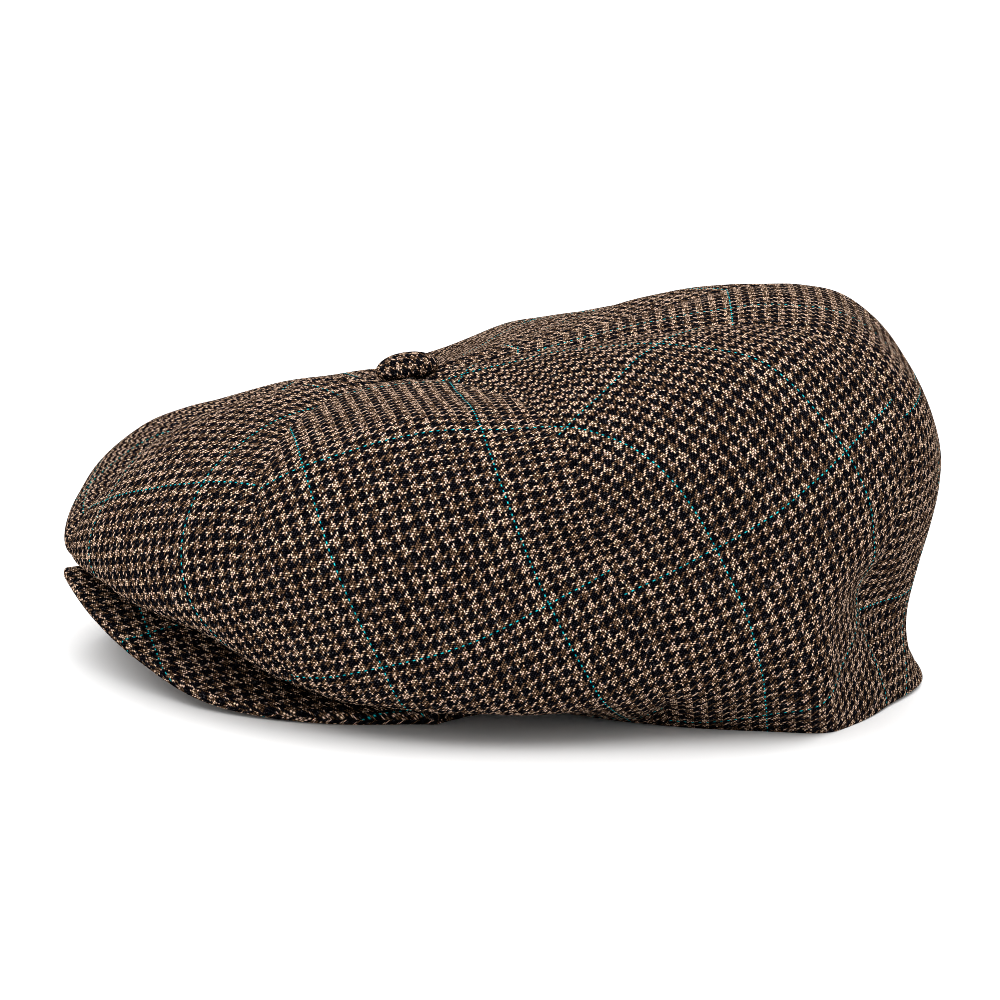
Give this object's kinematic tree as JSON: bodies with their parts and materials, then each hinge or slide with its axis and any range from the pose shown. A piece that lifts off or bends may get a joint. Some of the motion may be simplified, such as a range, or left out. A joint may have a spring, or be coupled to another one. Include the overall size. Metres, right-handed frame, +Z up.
{
  "type": "newsboy cap",
  "caption": "Full eight-panel cap in houndstooth tweed with a covered top button, short stitched visor, satin lining and inner sweatband.",
  "frame": {"origin": "centre of the cap's box, on the table that it stands on", "axes": "+Z up, visor towards -X, wearer's left side towards -Y, back of the crown towards +X"},
  "size_m": [0.2878, 0.2509, 0.1291],
  "materials": {
    "tweed": "brown and navy houndstooth wool with a fine teal windowpane",
    "satin": "smooth dark satin lining",
    "sweatband": "ribbed cotton grosgrain band",
    "tape": "cotton twill tape",
    "board": "flexible polyethylene visor board",
    "metal": "plain pressed steel"
  },
  "bodies": {
    "root": {"button_cover": "tweed", "button_shank": "metal", "button_shell": "metal", "crown_back_left": "tweed", "crown_back_right": "tweed", "crown_front_left": "tweed", "crown_front_right": "tweed", "crown_side_back_left": "tweed", "crown_side_back_right": "tweed", "crown_side_front_left": "tweed", "crown_side_front_right": "tweed", "crown_washer": "metal", "lining_back_left": "satin", "lining_back_right": "satin", "lining_front_left": "satin", "lining_front_right": "satin", "lining_side_back_left": "satin", "lining_side_back_right": "satin", "lining_side_front_left": "satin", "lining_side_front_right": "satin", "stay_tape": "tape", "sweatband": "sweatband", "visor_board": "board", "visor_top_cloth": "tweed", "visor_under_cloth": "tweed"}
  },
  "joints": []
}
